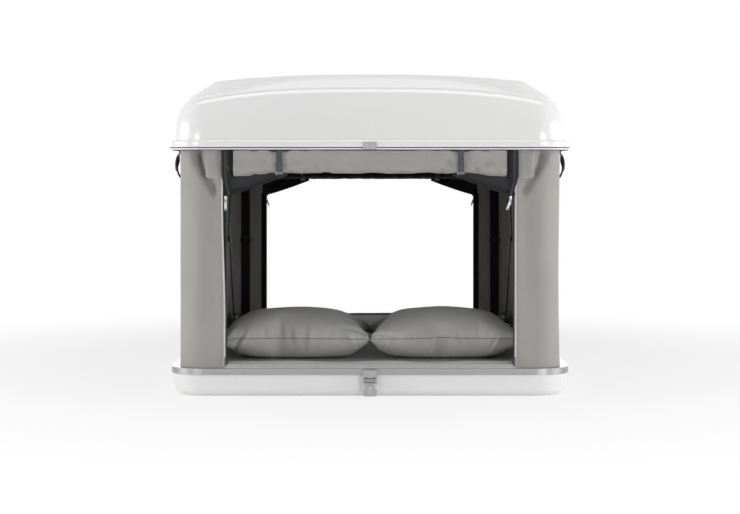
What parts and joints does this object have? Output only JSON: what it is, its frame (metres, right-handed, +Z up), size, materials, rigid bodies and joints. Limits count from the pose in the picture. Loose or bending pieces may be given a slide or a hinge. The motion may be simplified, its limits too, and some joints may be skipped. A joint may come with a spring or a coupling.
{
  "type": "roof top tent",
  "caption": "Hard-shell pop-up roof tent: moulded base and lid, lid raised level on folding arms, fabric walls, rolled end doors, mattress, pillows and draw latches.",
  "frame": {"origin": "on the ground under the middle of the base", "axes": "+Z up, +X to the right of someone facing the front doorway, +Y from front to rear"},
  "size_m": [1.3, 2.113, 1.038],
  "materials": {
    "white_gelcoat": "gloss",
    "rim_aluminium": "brushed",
    "stainless": "satin",
    "dark_steel": "satin",
    "rail_aluminium": "mill",
    "grey_fabric": "woven",
    "dark_lining": "woven",
    "black_webbing": "woven",
    "slate_webbing": "woven",
    "zip_black": "matt",
    "zip_metal": "polished",
    "mattress_cover": "woven",
    "pillow_cover": "woven",
    "seal_rubber": "matt",
    "floor_ply": "plain",
    "buckle_plastic": "matt"
  },
  "bodies": {
    "base": {"base_shell": "white_gelcoat", "base_rim": "rim_aluminium", "rim_rivets": "rim_aluminium", "sill_rails": "rim_aluminium", "mount_rails": "rail_aluminium", "floor_board": "floor_ply", "mattress": "mattress_cover", "pillow_left": "pillow_cover", "pillow_right": "pillow_cover", "base_brackets": "dark_steel", "gas_barrels": "dark_steel", "gas_saddles": "dark_steel", "latch_plate_front": "stainless", "latch_plate_rear": "stainless", "pillar_front_left": "grey_fabric", "pillar_front_right": "grey_fabric", "pillar_rear_left": "grey_fabric", "pillar_rear_right": "grey_fabric", "side_wall_left": "grey_fabric", "side_wall_right": "grey_fabric", "tension_straps": "black_webbing", "ladder_locks": "buckle_plastic"},
    "lid": {"lid_shell": "white_gelcoat", "lid_trim": "rim_aluminium", "lid_seal": "seal_rubber", "lid_frame": "rail_aluminium", "lid_liner": "dark_lining", "lid_brackets": "dark_steel", "keeper_front": "stainless", "keeper_rear": "stainless", "front_door_roll": "grey_fabric", "rear_door_roll": "grey_fabric", "front_roll_straps": "slate_webbing", "rear_roll_straps": "slate_webbing", "front_door_hems": "grey_fabric", "rear_door_hems": "grey_fabric", "front_gussets": "dark_lining", "rear_gussets": "dark_lining", "zip_tapes": "zip_black", "zip_pulls": "zip_metal", "side_loops": "black_webbing"},
    "lower_arm_front_left": {"lower_arm_front_left": "dark_steel"},
    "upper_arm_front_left": {"upper_arm_front_left": "dark_steel"},
    "gas_rod_front_left": {"gas_rod_front_left": "stainless"},
    "lower_arm_front_right": {"lower_arm_front_right": "dark_steel"},
    "upper_arm_front_right": {"upper_arm_front_right": "dark_steel"},
    "gas_rod_front_right": {"gas_rod_front_right": "stainless"},
    "lower_arm_rear_left": {"lower_arm_rear_left": "dark_steel"},
    "upper_arm_rear_left": {"upper_arm_rear_left": "dark_steel"},
    "gas_rod_rear_left": {"gas_rod_rear_left": "stainless"},
    "lower_arm_rear_right": {"lower_arm_rear_right": "dark_steel"},
    "upper_arm_rear_right": {"upper_arm_rear_right": "dark_steel"},
    "gas_rod_rear_right": {"gas_rod_rear_right": "stainless"},
    "latch_lever_front": {"latch_lever_front": "stainless"},
    "latch_claw_front": {"latch_claw_front": "stainless"},
    "latch_lever_rear": {"latch_lever_rear": "stainless"},
    "latch_claw_rear": {"latch_claw_rear": "stainless"}
  },
  "joints": [
    {"name": "lid_lift", "type": "slide", "parent": "base", "child": "lid", "axis": [0, 0, 1], "range_m": [-0.69, 0], "stiffness_N_per_m": 200, "springref_m": 1.4, "deforming": ["pillar_front_left", "pillar_front_right", "pillar_rear_left", "pillar_rear_right", "side_wall_left", "side_wall_right", "tension_straps", "ladder_locks", "front_door_roll", "rear_door_roll", "front_roll_straps", "rear_roll_straps", "front_door_hems", "rear_door_hems", "front_gussets", "rear_gussets", "zip_tapes", "zip_pulls", "side_loops"]},
    {"name": "lower_arm_hinge_front_left", "type": "hinge", "parent": "base", "child": "lower_arm_front_left", "pos_m": [-0.5765, -0.93, 0.06], "axis": [1, 0, 0], "range_deg": [-52.81, 0]},
    {"name": "elbow_hinge_front_left", "type": "hinge", "parent": "lower_arm_front_left", "child": "upper_arm_front_left", "pos_m": [-0.5835, -0.68336, 0.43639], "axis": [1, 0, 0], "range_deg": [0, 105.63]},
    {"name": "gas_rod_slide_front_left", "type": "slide", "parent": "base", "child": "gas_rod_front_left", "axis": [0, 1, 0], "range_m": [0, 0.04019]},
    {"name": "lower_arm_hinge_front_right", "type": "hinge", "parent": "base", "child": "lower_arm_front_right", "pos_m": [0.5765, -0.93, 0.06], "axis": [1, 0, 0], "range_deg": [-52.81, 0]},
    {"name": "elbow_hinge_front_right", "type": "hinge", "parent": "lower_arm_front_right", "child": "upper_arm_front_right", "pos_m": [0.5835, -0.68336, 0.43639], "axis": [1, 0, 0], "range_deg": [0, 105.63]},
    {"name": "gas_rod_slide_front_right", "type": "slide", "parent": "base", "child": "gas_rod_front_right", "axis": [0, 1, 0], "range_m": [0, 0.04019]},
    {"name": "lower_arm_hinge_rear_left", "type": "hinge", "parent": "base", "child": "lower_arm_rear_left", "pos_m": [-0.5765, 0.93, 0.06], "axis": [-1, 0, 0], "range_deg": [-52.81, 0]},
    {"name": "elbow_hinge_rear_left", "type": "hinge", "parent": "lower_arm_rear_left", "child": "upper_arm_rear_left", "pos_m": [-0.5835, 0.68336, 0.43639], "axis": [-1, 0, 0], "range_deg": [0, 105.63]},
    {"name": "gas_rod_slide_rear_left", "type": "slide", "parent": "base", "child": "gas_rod_rear_left", "axis": [0, -1, 0], "range_m": [0, 0.04019]},
    {"name": "lower_arm_hinge_rear_right", "type": "hinge", "parent": "base", "child": "lower_arm_rear_right", "pos_m": [0.5765, 0.93, 0.06], "axis": [-1, 0, 0], "range_deg": [-52.81, 0]},
    {"name": "elbow_hinge_rear_right", "type": "hinge", "parent": "lower_arm_rear_right", "child": "upper_arm_rear_right", "pos_m": [0.5835, 0.68336, 0.43639], "axis": [-1, 0, 0], "range_deg": [0, 105.63]},
    {"name": "gas_rod_slide_rear_right", "type": "slide", "parent": "base", "child": "gas_rod_rear_right", "axis": [0, -1, 0], "range_m": [0, 0.04019]},
    {"name": "latch_lever_hinge_front", "type": "hinge", "parent": "base", "child": "latch_lever_front", "pos_m": [0, -1.046, 0.056], "axis": [-1, 0, 0], "range_deg": [0, 110]},
    {"name": "latch_claw_hinge_front", "type": "hinge", "parent": "latch_lever_front", "child": "latch_claw_front", "pos_m": [0, -1.0495, 0.044], "axis": [-1, 0, 0], "range_deg": [-110, 0]},
    {"name": "latch_lever_hinge_rear", "type": "hinge", "parent": "base", "child": "latch_lever_rear", "pos_m": [0, 1.046, 0.056], "axis": [1, 0, 0], "range_deg": [0, 110]},
    {"name": "latch_claw_hinge_rear", "type": "hinge", "parent": "latch_lever_rear", "child": "latch_claw_rear", "pos_m": [0, 1.0495, 0.044], "axis": [1, 0, 0], "range_deg": [-110, 0]}
  ],
  "couplings": [
    {"joint": "lower_arm_hinge_front_left", "follows": "lid_lift", "rad_per_m": 1.3347},
    {"joint": "elbow_hinge_front_left", "follows": "lid_lift", "rad_per_m": -2.6693},
    {"joint": "gas_rod_slide_front_left", "follows": "lid_lift", "ratio": -0.05796},
    {"joint": "lower_arm_hinge_front_right", "follows": "lid_lift", "rad_per_m": 1.3347},
    {"joint": "elbow_hinge_front_right", "follows": "lid_lift", "rad_per_m": -2.6693},
    {"joint": "gas_rod_slide_front_right", "follows": "lid_lift", "ratio": -0.05796},
    {"joint": "lower_arm_hinge_rear_left", "follows": "lid_lift", "rad_per_m": 1.3347},
    {"joint": "elbow_hinge_rear_left", "follows": "lid_lift", "rad_per_m": -2.6693},
    {"joint": "gas_rod_slide_rear_left", "follows": "lid_lift", "ratio": -0.05796},
    {"joint": "lower_arm_hinge_rear_right", "follows": "lid_lift", "rad_per_m": 1.3347},
    {"joint": "elbow_hinge_rear_right", "follows": "lid_lift", "rad_per_m": -2.6693},
    {"joint": "gas_rod_slide_rear_right", "follows": "lid_lift", "ratio": -0.05796},
    {"joint": "latch_claw_hinge_front", "follows": "latch_lever_hinge_front", "ratio": -1},
    {"joint": "latch_claw_hinge_rear", "follows": "latch_lever_hinge_rear", "ratio": -1}
  ]
}
